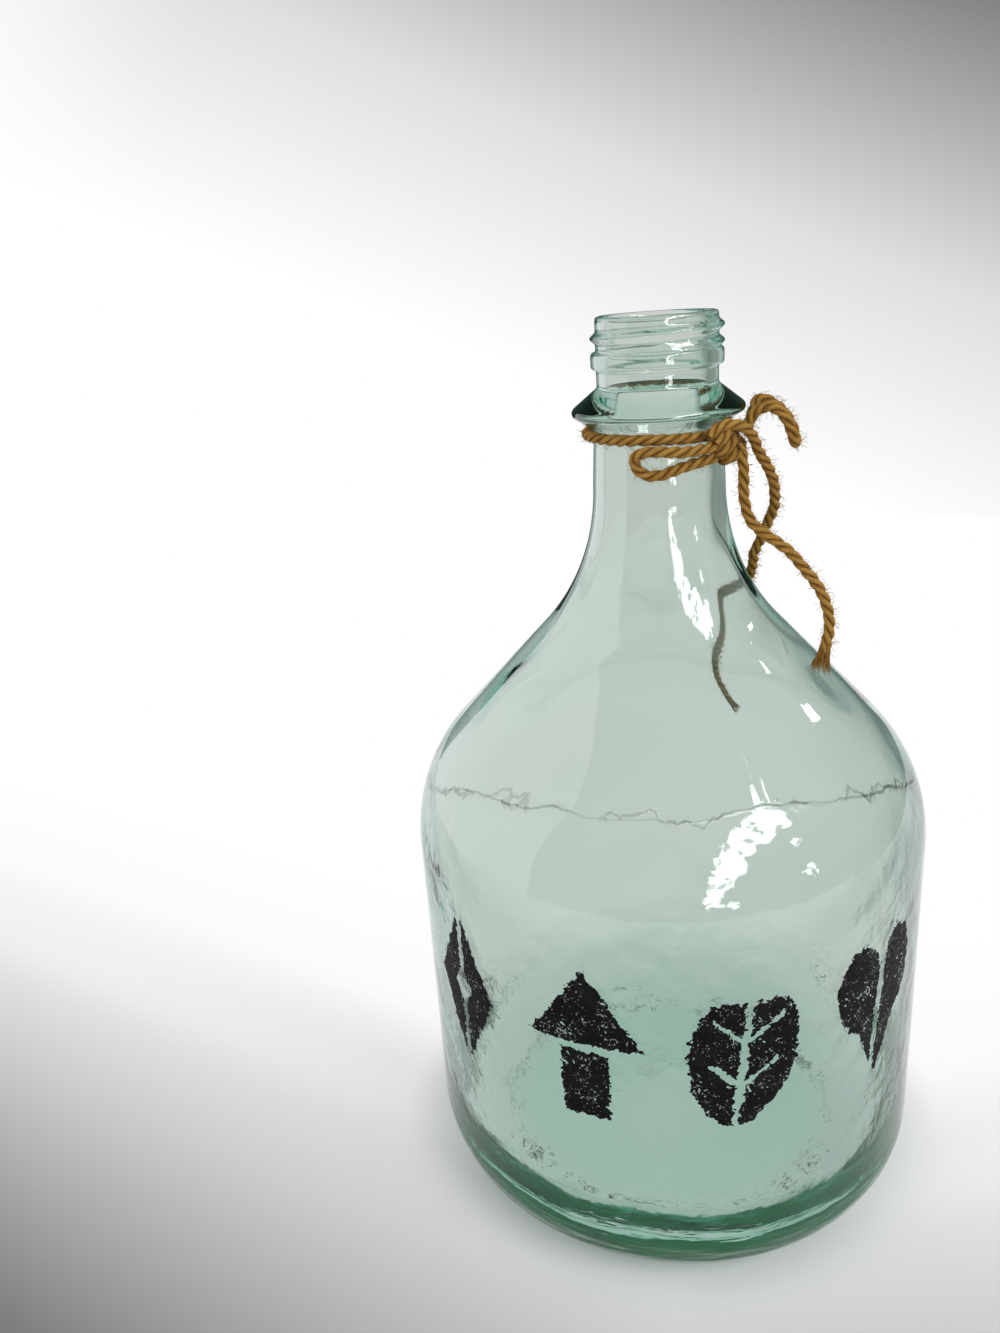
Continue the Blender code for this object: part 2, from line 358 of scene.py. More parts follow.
def glass_radius(height):
    """The jug's outer radius at a height, without its collar and finish."""
    points = heel(foot_outer_radius, jug_radius, 0, heel_height) + shoulder_and_throat(0)
    points.append((neck_top_radius, collar_bottom))
    return np.interp(height, [p[1] for p in points], [p[0] for p in points])


# ---- The twine's routes


def on_neck(azimuth, height, off_glass):
    """A point of the twine: an azimuth in degrees from +X, a height above the wrap, and how far the
    centre line stands off the glass there."""
    out = float(glass_radius(wrap_height + height)) + off_glass
    a = math.radians(azimuth)
    return Vector((out * math.cos(a), out * math.sin(a), wrap_height + height))


def smooth_path(route, spacing, between=24):
    """Evenly spaced points on a Catmull-Rom curve through the route's points."""
    knots = [Vector(p) for p in route]
    knots = [2 * knots[0] - knots[1]] + knots + [2 * knots[-1] - knots[-2]]
    fine = []
    for a, b, c, d in zip(knots, knots[1:], knots[2:], knots[3:]):
        bend, turn = a * 2 - b * 5 + c * 4 - d, b * 3 - a - c * 3 + d
        for t in (i / between for i in range(between)):
            fine.append(tuple((b * 2 + (c - a) * t + bend * t**2 + turn * t**3) / 2))
    return evenly(fine + [tuple(knots[-2])], spacing)


# Each free stretch, as (azimuth in degrees, height above the wrap, centre line off the glass)
bow_loop_front_route = [
    (-50.5, -0.0026, 0.0048), (-61, -0.0031, 0.0048), (-74, -0.0032, 0.0048), (-87, -0.0028, 0.0048),
    (-98, -0.0026, 0.0047), (-105, -0.0038, 0.0043), (-107, -0.0058, 0.0036), (-104, -0.0080, 0.0028),
    (-97, -0.0094, 0.0024), (-87, -0.0092, 0.0023), (-74, -0.0078, 0.0023), (-63, -0.0070, 0.0025),
    (-49, -0.0062, 0.0032),
]  # fmt: skip
bow_loop_side_route = [
    (-20, 0.0005, 0.0072), (-19, 0.0026, 0.0081), (-18, 0.0047, 0.0096), (-17, 0.0060, 0.0119),
    (-17, 0.0056, 0.0150), (-17, 0.0030, 0.0176), (-16, -0.0004, 0.0192), (-14, -0.0033, 0.0197),
    (-10.5, -0.0043, 0.0198), (-7, -0.0032, 0.0195), (-5, -0.0008, 0.0190), (-4, 0.0024, 0.0174),
    (-4, 0.0053, 0.0148), (-4, 0.0072, 0.0116), (-4, 0.0070, 0.0092), (-6, 0.0040, 0.0080),
    (-11.3, 0.0004, 0.0070),
]  # fmt: skip
tail_long_route = [
    (-30, -0.0071, 0.0076), (-30, -0.0116, 0.0079), (-29, -0.0176, 0.0076), (-28, -0.0235, 0.0084),
    (-27, -0.0275, 0.0112), (-26, -0.0318, 0.0168), (-26, -0.0371, 0.0206), (-25, -0.0440, 0.0224),
    (-25, -0.0520, 0.0200), (-25, -0.0602, 0.0120), (-25, -0.0674, 0.0037),
]  # fmt: skip
tail_back_route = [
    (-55, 0.0010, 0.0060), (-49, 0.0023, 0.0062), (-43, 0.0030, 0.0074), (-37, 0.0023, 0.0088),
    (-32, 0.0008, 0.0100), (-26, -0.0020, 0.0104), (-20, -0.0063, 0.0109), (-15, -0.0101, 0.0121),
    (-10, -0.0143, 0.0133), (-6, -0.0184, 0.0137), (-1, -0.0240, 0.0131), (4, -0.0290, 0.0108),
    (10, -0.0348, 0.0077), (15, -0.0395, 0.0050), (22, -0.0455, 0.0030), (36, -0.0508, 0.0028),
    (50, -0.0558, 0.0028), (60, -0.0638, 0.0028), (65, -0.0720, 0.0028), (69, -0.0818, 0.0028),
    (71.5, -0.0915, 0.0028), (72, -0.0990, 0.0027), (71, -0.1045, 0.0026), (68, -0.1118, 0.0026),
    (65, -0.1160, 0.0030),
]  # fmt: skip


# ---- Materials


def new_material(name):
    """A new material, a way to add nodes to it, and its shader."""
    made = bpy.data.materials.new(name)
    made.use_nodes = True
    tree = made.node_tree
    return made, functools.partial(add, tree), tree.nodes["Principled BSDF"]


def recycled_glass(settings):
    """Recycled soda-lime glass, blown in a mould: colourless where thin and sea green where thick.
    The skin has a faint ripple, a line where the gather settled and a stippled bearing edge."""
    made, node, shader = new_material("recycled_soda_lime_glass")
    place = node("TexCoord").outputs["Object"]
    x, y, z = node("SeparateXYZ", place).outputs
    thick, bulk, outer = (
        node("Attribute", attribute_name=name).outputs["Fac"] for name in ("thick", "bulk", "outer")
    )
    # Below the settle line the skin has ripples 9 mm apart and a hammered grain of 3 mm. Above it
    # the glass is almost true.
    ripple = node("TexNoise", place, 1 / 0.009, 2)
    hammer = node("TexNoise", place, 1 / 0.003, 3)
    below = node("MapRange", z, 0.150, 0.120, 0.06, 1)
    skin = node("Math MULTIPLY_ADD", hammer, 0.30, ripple)
    skin = node("Math MULTIPLY", skin, below)
    # Round the heel the glass ran together in level folds, 4 mm apart
    stretched_place = node("VectorMath MULTIPLY", place, (0.2, 0.2, 1))
    folds = node("TexNoise", stretched_place, 1 / 0.004, 2)
    heel_only = node("MapRange", z, 0.028, 0.018, 0, 5)
    skin = node("Math MULTIPLY_ADD", folds, heel_only, skin)
    # The settle line is 0.5 mm wide. It wanders up and down by 2 mm, sinks towards the sides, is
    # doubled in places and fades out behind.
    round_about = node("VectorMath MULTIPLY", place, (1, 1, 0))
    aside = node("Math POWER", x, 4)
    level = node("Math MULTIPLY_ADD", aside, settle_sag, z)
    front = node("MapRange", y, 0, -0.03)
    front = node("Math MULTIPLY", front, outer)
    strands = []
    for size, lift, width, low, high, least in (
        (0.024, -0.009, 0.00045, 0.36, 0.60, 0.25),
        (0.008, -0.014, 0.00090, 0.42, 0.54, 0),
    ):
        wander = node("TexNoise", round_about, 1 / size, 7, 0.56)
        wander = node("Math ADD", wander, -0.5)
        level = node("Math MULTIPLY_ADD", wander, lift, level)
        off = node("Math ADD", level, -settle_line_height)
        off = node("Math ABSOLUTE", off)
        strand = node("MapRange", off, 0, width, 1, 0, **smoothly)
        patchy = node("TexNoise", round_about, 0.5 / size, 2)
        strong = node("MapRange", patchy, low, high, least)
        strong = node("Math MULTIPLY", strong, front)
        strands.append(node("Math MULTIPLY", strand, strong))
    line = node("Math MULTIPLY_ADD", strands[1], 0.6, strands[0])
    # The floor is thick, and so are the heel and the collar when light passes them aslant, so the colour is
    # deep there.
    # Where the wall is seen edgeways it is painted darker and greener: partly the long path through the
    # glass, partly painted shade for the dark that the wall refracts.
    aslant = node("LayerWeight", 0.5).outputs["Facing"]
    entering = node("NewGeometry").outputs["Backfacing"]
    entering = node("Math SUBTRACT", 1, entering)
    collar = node("Math GREATER_THAN", z, collar_bottom)
    deep = node("Math MULTIPLY_ADD", collar, -0.45, aslant)
    deep = node("MapRange", deep, 0.05, 0.45, **smoothly)
    for share in (bulk, entering):
        deep = node("Math MULTIPLY", deep, share)
    edge = node("MapRange", aslant, 0.64, 0.95, **smoothly)
    edge = node("Math MULTIPLY", edge, entering)
    # The settle line is also painted darker in the glass's colour: painted shade for the dark that its fold
    # refracts
    painted_line_shade = node("Math MULTIPLY", line, 0.85, use_clamp=True)
    tints = (
        (thick, settings.thick_tint),
        (deep, settings.deep_tint),
        (edge, settings.edge_shade_tint),
        (painted_line_shade, linear("#465249")),
    )
    colour = linear("#f6fbf8")
    for share, tint in tints:
        colour = node("Mix", share, colour, tint, data_type="RGBA")
    # The foot is stippled with short dashes in a ring 4 mm wide
    off_axis = node("VectorMath LENGTH", round_about)
    band = node("Math COMPARE", off_axis, stipple_radius, stipple_half_width)
    under = node("Math LESS_THAN", z, 0.006)
    dashes = node("TexVoronoi", place, 1 / 0.0024)
    dashes = node("MapRange", dashes, 0.25, 0.45, 1, 0, **smoothly)
    for share in (band, under):
        dashes = node("Math MULTIPLY", dashes, share)
    relief = node("Math MULTIPLY_ADD", dashes, 4, line)
    bump = None
    for height in (skin, relief):
        bump = node("Bump", {"Strength": 1, "Distance": 0.00020, "Height": height, "Normal": bump})
    look = {"Base Color": colour, "Normal": bump, "Roughness": 0.015, "IOR": 1.52, "Transmission Weight": 1}
    connect(shader, look)
    depth = node("VolumeAbsorption", settings.tint, settings.tint_density)
    connect(made.node_tree.nodes["Material Output"], {"Volume": depth})
    return made


def stencil_paint(settings):
    """Black craft acrylic, dabbed on with a sponge: matt, with a grain of fine pits and a slightly
    thinner, greyer film here and there."""
    made, node, shader = new_material("stencil_paint")
    place = node("TexCoord").outputs["Object"]
    # The sponge's pores are 0.8 mm, and thin patches are 6 mm across
    pores = node("TexNoise", place, 1 / 0.0008, 3)
    patches = node("TexNoise", place, 1 / 0.006, 4)
    tone = node("MapRange", patches, 0.45, 0.75, 0, 1)
    colour = node("Mix", tone, settings.paint, linear("#151516"), data_type="RGBA")
    # Bare pinholes of 0.7 mm, drawn about twice as large as the sponge's own so that they show, lie
    # in clusters of 5 mm
    specks = node("TexNoise", place, 1 / 0.0007, 2, 0.6)
    clusters = node("TexNoise", place, 1 / 0.005, 2)
    near = node("Math MULTIPLY_ADD", clusters, 0.42, specks)
    bare = node("MapRange", near, 0.86, 0.90, **smoothly)
    colour = node("Mix", bare, colour, linear("#8f9a92"), data_type="RGBA")
    rough = node("MapRange", pores, 0.3, 0.7, 0.45, 0.75)
    bump = node("Bump", {"Strength": 0.6, "Distance": 0.00015, "Height": pores})
    connect(shader, {"Base Color": colour, "Roughness": rough, "Normal": bump, "Specular IOR Level": 0.12})
    return made


def jute(settings):
    """Three-ply jute twine: coarse bast fibres, dull golden brown, spun hard. The fibres are streaked,
    and the colour is painted pale on the crests of the plies and dark in the grooves between them: painted
    shade, with some dirt in the grooves."""
    made, node, shader = new_material("three_ply_jute")
    section = node("Attribute", attribute_name="section").outputs["Vector"]
    along, ply, crest = (
        node("Attribute", attribute_name=name).outputs["Fac"] for name in ("along", "ply", "crest")
    )
    place = node("TexCoord").outputs["Object"]
    # Fibres turn once round their ply in 10 mm, against the lay. They are drawn 0.25 mm wide, about
    # twice as coarse as jute, so that they show, and 4 mm long.
    spin = node("Math MULTIPLY", along, math.tau / 0.010)
    turned = node("VectorRotate", section, {"Angle": spin}, rotation_type="Z_AXIS")
    wide = node("VectorMath SCALE", turned, 3.2)
    aside = node("Math MULTIPLY", ply, 7.3)
    onward = node("Math MULTIPLY", along, 1 / 0.004)
    shift = node("CombineXYZ", {"X": aside, "Z": onward})
    where = node("VectorMath ADD", wide, shift)
    fibres = node("TexNoise", where, 1, 4, 0.65)
    blotches = node("TexNoise", place, 1 / 0.007, 2)
    # The tone follows the depth among the plies: painted shade, darkest in the grooves and palest on the
    # crests
    tone = node("MapRange", crest, 0.55, 1.05, 0.08, 0.66)
    tone = node("Math MULTIPLY_ADD", fibres, 0.75, tone)
    tone = node("Math MULTIPLY_ADD", blotches, 0.35, tone)
    ramp = node("ValToRGB", node("Math ADD", tone, -0.28))
    stops(ramp, ((0.1, settings.groove), (0.52, settings.fibre), (1, settings.crest)))
    bump = node("Bump", {"Strength": 0.8, "Distance": 0.00025, "Height": fibres})
    connect(
        shader,
        {"Base Color": ramp, "Normal": bump, "Roughness": 0.85, "Specular IOR Level": 0.15},
        {"Sheen Weight": 0.02, "Sheen Roughness": 0.5},
    )
    return made


# ---- The twine


def twine_tree():
    """Geometry nodes that lay twisted plies along a path, with loose hairs and a frayed end."""
    tree = bpy.data.node_groups.new("laid_twine", "GeometryNodeTree")
    tree.is_modifier = True
    for label, kind, value in (
        ("Path", "Geometry", None),
        ("Diameter", "Float", 0.0032),
        ("Plies", "Int", 3),
        ("Lay", "Float", 0.0105),
        ("Fuzz Length", "Float", 0.0013),
        ("Fuzz Density", "Float", 650000),
        ("Frayed Length", "Float", 0),
        ("Frayed Width", "Float", 0.0064),
        ("Frayed Fibres", "Int", 0),
        ("Seed", "Int", 1),
        ("Material", "Material", None),
    ):
        socket = tree.interface.new_socket(label, in_out="INPUT", socket_type="NodeSocket" + kind)
        if value is not None:
            socket.default_value = value
    tree.interface.new_socket("Twine", in_out="OUTPUT", socket_type="NodeSocketGeometry")
    node = functools.partial(add, tree)
    given = node("NodeGroupInput").outputs
    radius = node("Math MULTIPLY", given["Diameter"], 0.5)
    normal = node("InputNormal")
    side = node("InputTangent")
    side = node("VectorMath CROSS_PRODUCT", side, normal)
    position = node("InputPosition")
    spline = node("SplineParameter").outputs

    def shaken(size, reach):
        """A random shift, by reach at most, that changes over a size."""
        noise = node("TexNoise", position, 1 / size, 1).outputs["Color"]
        noise = node("VectorMath SUBTRACT", noise, (0.5, 0.5, 0.5))
        return node("VectorMath SCALE", noise, reach)

    def outward(angle, reach):
        """A shift off the line by reach, at an angle round it."""
        parts = []
        for way, turn in ((normal, "COSINE"), (side, "SINE")):
            share = node("Math " + turn, angle)
            parts.append(node("VectorMath SCALE", way, share))
        out = node("VectorMath ADD", *parts)
        return node("VectorMath SCALE", out, reach)

    line = node("MeshToCurve", given["Path"])
    line = node("ResampleCurve", line, {"Length": 0.0004}, mode="LENGTH")
    # Twine never lies quite true: its line wanders by 0.15 mm over some 7 mm
    line = node("SetPosition", line, {"Offset": shaken(0.007, 0.0005)})
    whole = node("SplineLength")

    # The plies stop half way into the frayed end
    stop = node("Math MULTIPLY", given["Frayed Length"], 0.5)
    stop = node("Math SUBTRACT", whole, stop)
    plies = node("TrimCurve", line, {"End": stop}, mode="LENGTH")
    plies = node("DuplicateElements", plies, {"Amount": given["Plies"]}, domain="SPLINE")
    index = plies.outputs["Duplicate Index"]
    for name, value, kind in (
        ("core", position, "FLOAT_VECTOR"),
        ("along", spline["Length"], "FLOAT"),
        ("ply", index, "FLOAT"),
    ):
        plies = node("StoreNamedAttribute", plies, None, name, value, data_type=kind)
    share = node("Math MULTIPLY", index, math.tau)
    share = node("Math DIVIDE", share, given["Plies"])
    twist = node("Math MULTIPLY", spline["Length"], math.tau)
    twist = node("Math DIVIDE", twist, given["Lay"])
    angle = node("Math SUBTRACT", share, twist)
    # A ply's centre runs at about half of the twine's radius, and the ply is as thick again
    middle = node("Math MULTIPLY", radius, 0.515)
    plies = node("SetPosition", plies, {"Offset": outward(angle, middle)})
    ring = node("Math MULTIPLY", radius, 0.485)
    ring = node("CurvePrimitiveCircle", 10, ring)
    section = node("VectorMath NORMALIZE", position)
    ring = node("StoreNamedAttribute", ring, None, "section", section, data_type="FLOAT_VECTOR")
    uneven = node("TexNoise", position, 1 / 0.003, 2)
    girth = node("Math MULTIPLY_ADD", uneven, 0.30, 0.85)
    plies = node("CurveToMesh", plies, ring, girth, True)
    core = node("InputNamedAttribute", "core", data_type="FLOAT_VECTOR")
    crest = node("VectorMath DISTANCE", position, core)
    crest = node("Math DIVIDE", crest, radius)
    plies = node("StoreNamedAttribute", plies, None, "crest", crest)

    # Loose hairs stand off the plies at all angles
    seed = {"Seed": given["Seed"]}
    spots = node("DistributePointsOnFaces", {"Mesh": plies, "Density": given["Fuzz Density"], **seed})
    any_way = node("RandomValue", (-1, -1, -1), (1, 1, 1), seed, data_type="FLOAT_VECTOR")
    lean = node("VectorMath SCALE", spots.outputs["Normal"], 0.55)
    lean = node("VectorMath ADD", lean, any_way)
    aim = node("AlignRotationToVector", {"Vector": lean}, axis="Z")
    hair = {"Resolution": 4, "Start": (0, 0, -0.15), "Middle": (0, 0, 0.6), "End": (0.4, 0.1, 1)}
    hair = node("CurveQuadraticBezier", hair)
    hair = node("CurveToMesh", hair, node("CurvePrimitiveCircle", 3, 0.028))
    size = node("RandomValue", 0.35, 1.3, seed)
    size = node("Math MULTIPLY", size, given["Fuzz Length"])
    size = node("VectorMath SCALE", (1, 1, 1), size)
    hairs = node("InstanceOnPoints", {"Points": spots, "Instance": hair, "Rotation": aim, "Scale": size})
    hairs = node("RealizeInstances", hairs)
    # Loose hairs stand clear of the grooves, so they take the pale crest end of the painted shade
    hairs = node("StoreNamedAttribute", hairs, None, "crest", 0.95)

    # The frayed end: single fibres that part from the last of the plies and spread
    start = node("Math SUBTRACT", whole, given["Frayed Length"])
    end = node("TrimCurve", line, {"Start": start, "End": whole}, mode="LENGTH")
    end = node("ResampleCurve", end, {"Count": 9})
    amount = {"Amount": given["Frayed Fibres"]}
    fibres = node("DuplicateElements", end, amount, domain="SPLINE")
    fibre = fibres.outputs["Duplicate Index"]
    fibres = node("StoreNamedAttribute", fibres, None, "ply", fibre)
    azimuth, far, short = (
        node("RandomValue", least, most, {"ID": fibre, "Seed": number})
        for least, most, number in ((0, math.tau, 3), (0.05, 1, 5), (0.72, 1, 9))
    )
    spread = node("Math POWER", spline["Factor"], 1.2)
    wide = node("Math MULTIPLY", given["Frayed Width"], 0.5)
    wide = node("Math SUBTRACT", wide, radius)
    narrow = node("Math MULTIPLY", radius, 0.9)
    reach = node("Math MULTIPLY_ADD", spread, wide, narrow)
    far = node("Math SQRT", far)
    reach = node("Math MULTIPLY", reach, far)
    swirl = node("Math MULTIPLY_ADD", spline["Factor"], -1.1, azimuth)
    fibres = node("SetPosition", fibres, {"Offset": outward(swirl, reach)})
    loose = node("VectorMath SCALE", shaken(0.0022, 0.0016), spline["Factor"])
    fibres = node("SetPosition", fibres, {"Offset": loose})
    fibres = node("TrimCurve", fibres, {"End": short}, mode="FACTOR")
    strand = node("CurvePrimitiveCircle", 4, 0.00011)
    taper = node("Math MULTIPLY_ADD", spline["Factor"], -0.5, 1.1)
    fibres = node("CurveToMesh", fibres, strand, taper, True)
    # The frayed fibres also take a pale tone of the painted shade
    fibres = node("StoreNamedAttribute", fibres, None, "crest", 0.86)

    together = node("JoinGeometry")
    for part in (fibres, hairs, plies):
        connect(together, part)
    smooth = node("SetShadeSmooth", together)
    real = node("RealizeInstances", smooth)
    node("NodeGroupOutput", node("SetMaterial", real, {"Material": given["Material"]}))
    return tree


def lay_twine(name, path, settings, seed, node, frayed=(0, 0, 0)):
    """Twine along a path, as a plain mesh that rides with the twine's body and stands for a node.
    frayed is the end's length, its width and its count of fibres."""
    edges = [(i, i + 1) for i in range(len(path) - 1)]
    mesh = mesh_of(name + "_path", [tuple(p) for p in path], [], edges)
    line = in_scene(name + "_path", mesh)
    laid = line.modifiers.new("Laid twine", "NODES")
    laid.node_group = bpy.data.node_groups.get("laid_twine") or twine_tree()
    look = bpy.data.materials.get("three_ply_jute") or jute(settings)
    values = {
        "Diameter": settings.diameter,
        "Plies": settings.plies,
        "Lay": settings.lay,
        "Fuzz Length": settings.fuzz_length,
        "Fuzz Density": settings.fuzz_density,
        "Frayed Length": frayed[0],
        "Frayed Width": frayed[1],
        "Frayed Fibres": frayed[2],
        "Seed": seed,
        "Material": look,
    }
    for item in laid.node_group.interface.items_tree:
        if item.name in values:
            laid[item.identifier] = values[item.name]
    bpy.context.view_layer.update()
    graph = bpy.context.evaluated_depsgraph_get()
    made = bpy.data.meshes.new_from_object(line.evaluated_get(graph))
    made.name = name
    bpy.data.objects.remove(line)
    bpy.data.meshes.remove(mesh)
    return put(name, made, look, "twine", "jute_twine", node)


def stretched(path, start, end):
    """The path with each end carried on straight by a length."""
    path = np.array(path)
    first = path[0] + (path[0] - path[1]) / np.linalg.norm(path[0] - path[1]) * start
    last = path[-1] + (path[-1] - path[-2]) / np.linalg.norm(path[-1] - path[-2]) * end
    return np.vstack(([first] if start else []) + [path] + ([last] if end else []))


def wrap_path():
    start = math.radians(knot_azimuth + knot_half_angle)
    sweep = math.tau - 2 * math.radians(knot_half_angle)
    out = float(glass_radius(wrap_height)) + touch_gap + wrap_radius
    angles = np.linspace(start, start + sweep, 97)
    return [(out * math.cos(a), out * math.sin(a), wrap_height) for a in angles]


def knot_path(diameter):
    """Two and a bit turns round the crossing, whose fronts lean to the upper right."""
    azimuth = knot_azimuth - 4
    a = math.radians(azimuth)
    out, across = Vector((math.cos(a), math.sin(a), 0)), Vector((-math.sin(a), math.cos(a), 0))
    up = Vector((0, 0, 1))
    axis = across * math.cos(knot_lean) + up * math.sin(knot_lean)
    rise = up * math.cos(knot_lean) - across * math.sin(knot_lean)
    middle = on_neck(azimuth, -knot_drop, touch_gap + knot_depth / 2)
    points = []
    for share in np.linspace(0, 1, 110):
        t = math.tau * knot_turns * share + knot_start
        along = (share - 0.5) * (knot_width - diameter) * 1.05
        forward = out * math.cos(t) * (knot_depth - diameter) / 2
        upward = rise * math.sin(t) * (knot_height - diameter) / 2 * 1.15
        points.append(tuple(middle + axis * along + forward + upward))
    return points


class COINBANK_OT_free_twine(bpy.types.Operator):
    """Lays the bow's two loops and its two tails"""

    bl_idname = "coinbank.free_twine"
    bl_label = "Loops and Tails"

    def execute(self, context):
        settings = context.scene.coinbank_twine
        # Each has its far end, the lengths carried on into the knot, its frayed end and its seed
        stretches = (
            ("bow_loop_front", bow_loop_front_route, "object", 0.0012, 0.0012, (0, 0, 0), 11),
            ("bow_loop_side", bow_loop_side_route, "object", 0.0012, 0.0012, (0, 0, 0), 12),
            ("tail_long", tail_long_route, "bare", 0.0045, 0, (0.009, 0.0066, 110), 13),
            ("tail_back", tail_back_route, "bare", 0.0012, 0, (0.007, 0.0052, 90), 14),
        )
        for name, route, far_end, before, after, frayed, seed in stretches:
            path = smooth_path([on_neck(*row) for row in route], 0.0008)
            longer = stretched(path, before, after)
            piece = lay_twine(name + "_twine", longer, settings, seed, name, frayed)
        return {"FINISHED"}


class COINBANK_OT_wrap_and_knot(bpy.types.Operator):
    """Lays the turn of twine round the neck and ties the knot"""

    bl_idname = "coinbank.wrap_and_knot"
    bl_label = "Wrap and Knot"

    def execute(self, context):
        settings = context.scene.coinbank_twine
        lay_twine("neck_wrap_twine", stretched(wrap_path(), 0.001, 0.001), settings, 21, "twine_neck_wrap")
        lay_twine("bow_knot_twine", knot_path(settings.diameter), settings, 22, "bow_knot")
        return {"FINISHED"}


# ---- The glass


def waves(around, height, seed, count, turns, length):
    """Smooth random waves from -1 to 1: turns gives how many go round the jug, and length gives
    their least and greatest length up it."""
    chance = np.random.default_rng(seed)
    total = np.zeros(np.broadcast(around, height).shape)
    for _ in range(count):
        n = chance.integers(turns[0], turns[1] + 1)
        k = math.tau / chance.uniform(*length)
        total += np.sin(n * around + k * height * chance.choice([-1, 1]) + chance.uniform(0, math.tau))
    return total / (1.7 * math.sqrt(count))


def outer_sink(around, height, depth):
    """How far the moulded face lies under its even shape. It is never proud of it."""
    return depth * (0.5 + 0.45 * np.clip(waves(around, height, 4, 14, (1, 9), (0.03, 0.12)), -1, 1))


def thread_rise(around, height):
    """The screw thread on the finish, as a rounded ridge that fades at both ends."""
    rise = np.zeros(around.shape)
    for whole in (0, 1):
        gone = np.mod(math.pi / 2 - around, math.tau) / math.tau + whole
        share = gone / thread_turns
        middle = jug_height - thread_drop - thread_pitch * gone
        full = np.clip(np.minimum(share, 1 - share) / thread_run_out, 0, 1)
        off = np.clip((height - middle) / thread_half_width, -1, 1)
        rise = np.maximum(rise, thread_ridge * full * np.cos(off * math.pi / 2) ** 2 * (share <= 1))
    return rise


def past(value, start, over):
    """From 0 at start to 1 a length further on, or further down where the length is negative."""
    return np.clip((value - start) / over, 0, 1)


def rounded_profile():
    """The glass's whole outline, up the outside and down the inside, in rows that lie closer where
    the shape is finer, and which rows are inside, from 0 to 1."""
    outside, inside = evenly(outer_profile(), profile_step), evenly(inner_profile(), profile_step)
    line = np.vstack([outside, inside[1:]])
    is_inner = np.arange(len(line)) >= len(outside)
    # Hot glass has no sharp corners: they are rounded to about half a millimetre
    reach = 3 * corner_blur
    kernel = np.exp(-0.5 * (np.arange(-reach, reach + 1) / corner_blur) ** 2)
    kernel /= kernel.sum()
    padded = np.vstack([line[reach:0:-1] * (-1, 1), line, line[-2 : -reach - 2 : -1] * (-1, 1)])
    line = np.column_stack([np.convolve(padded[:, i], kernel, "valid") for i in (0, 1)])
    line[[0, -1], 0] = 0
    # Rows are half a millimetre apart outside the collar and finish, 1 mm inside them and at the
    # inner heel, and 2 mm elsewhere
    finish, foot = line[:, 1] > calm_height + 0.002, line[:, 1] < heel_height + 0.007
    places = [finish & is_inner, finish, foot & is_inner, is_inner]
    row_step = np.select(places, [0.0011, 0.00052, 0.001, 0.0021], 0.0019)
    rows = np.append(0, np.cumsum(profile_step / row_step[1:]))
    wanted = np.linspace(0, rows[-1], round(rows[-1]) + 1)
    inner = np.interp(wanted, rows, is_inner.astype(float))
    return np.column_stack([np.interp(wanted, rows, line[:, i]) for i in (0, 1)]), inner


